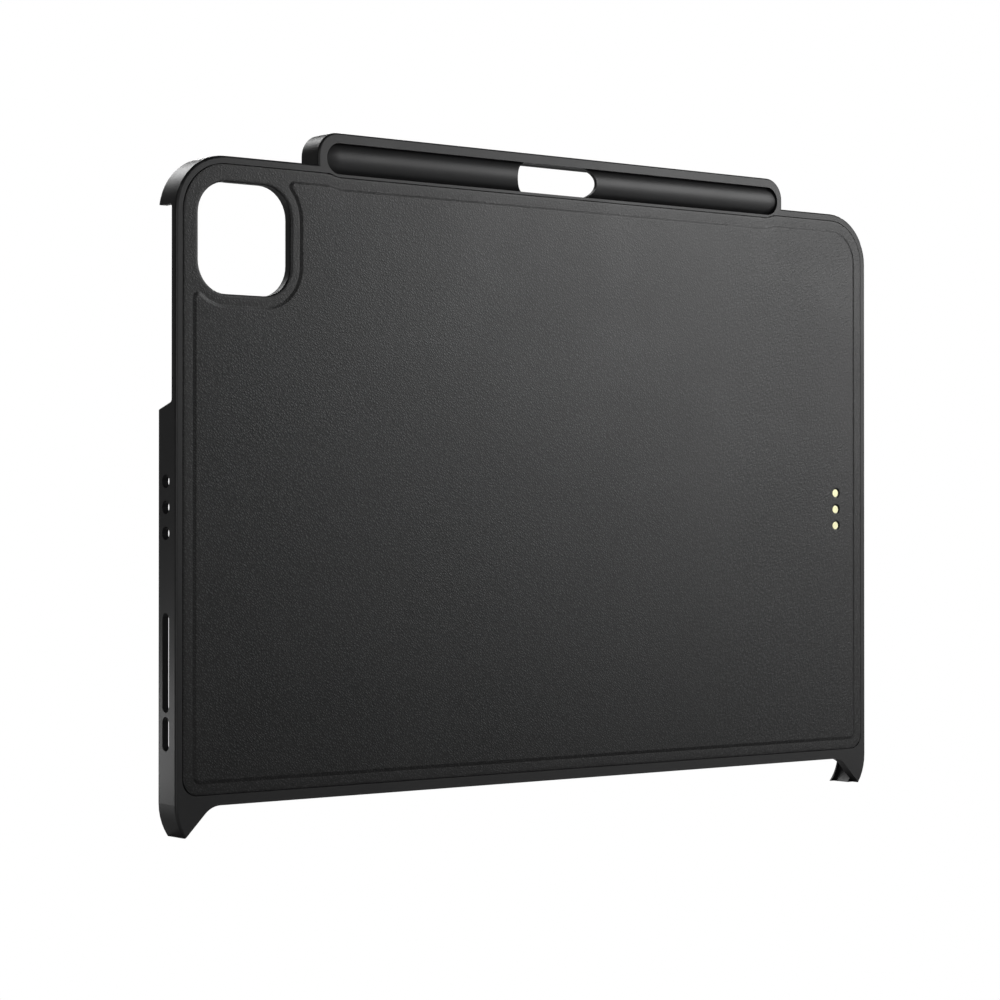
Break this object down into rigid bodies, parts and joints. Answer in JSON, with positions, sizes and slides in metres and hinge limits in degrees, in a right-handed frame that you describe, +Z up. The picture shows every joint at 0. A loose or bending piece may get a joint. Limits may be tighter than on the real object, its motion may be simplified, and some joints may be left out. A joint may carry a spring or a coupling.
{
  "type": "tablet keyboard case",
  "caption": "Slim back case for a tablet that docks on a keyboard: moulded frame, leather panel with a raised field, stylus trough, camera window, magnets and sprung contacts.",
  "frame": {"origin": "on the raised field's outer face, in line with the middle of the tablet pocket", "axes": "+X along the long side, to the right as seen from the back; +Y from the back to the open front; +Z up, to the stylus trough"},
  "size_m": [0.2518, 0.0098, 0.1852],
  "materials": {
    "frame": "satin black moulded plastic",
    "plate": "plain black moulded plate",
    "filler": "grey board",
    "skin": "black fine-grained coated leather, low sheen",
    "lining": "dark grey microfibre",
    "contact_block": "black moulded plastic",
    "gasket": "black silicone rubber",
    "board": "lacquered circuit board",
    "gilt": "gold-plated brass",
    "spring": "drawn spring wire",
    "magnet": "nickel-plated magnets",
    "yoke": "cold-rolled steel strip"
  },
  "bodies": {
    "case": {"bumper_frame": "frame", "back_plate": "plate", "filler_board": "filler", "leather_panel": "skin", "lining": "lining", "contact_housing": "contact_block", "contact_gasket": "gasket", "contact_board": "board", "contact_cover": "contact_block", "contact_pad_upper": "gilt", "pogo_barrel_upper": "gilt", "pogo_spring_upper": "spring", "contact_pad_middle": "gilt", "pogo_barrel_middle": "gilt", "pogo_spring_middle": "spring", "contact_pad_lower": "gilt", "pogo_barrel_lower": "gilt", "pogo_spring_lower": "spring", "magnets_left": "magnet", "magnet_yoke_left": "yoke", "magnets_right": "magnet", "magnet_yoke_right": "yoke", "magnets_upper": "magnet", "magnet_yoke_upper": "yoke", "magnets_lower": "magnet", "magnet_yoke_lower": "yoke"},
    "pin_upper": {"pogo_plunger_upper": "gilt"},
    "pin_middle": {"pogo_plunger_middle": "gilt"},
    "pin_lower": {"pogo_plunger_lower": "gilt"}
  },
  "joints": [
    {"name": "pin_upper_press", "type": "slide", "parent": "case", "child": "pin_upper", "axis": [0, -1, 0], "range_m": [0, 0.0005], "stiffness_N_per_m": 400, "springref_m": -0.001, "deforming": ["pogo_spring_upper"]},
    {"name": "pin_middle_press", "type": "slide", "parent": "case", "child": "pin_middle", "axis": [0, -1, 0], "range_m": [0, 0.0005], "stiffness_N_per_m": 400, "springref_m": -0.001, "deforming": ["pogo_spring_middle"]},
    {"name": "pin_lower_press", "type": "slide", "parent": "case", "child": "pin_lower", "axis": [0, -1, 0], "range_m": [0, 0.0005], "stiffness_N_per_m": 400, "springref_m": -0.001, "deforming": ["pogo_spring_lower"]}
  ]
}
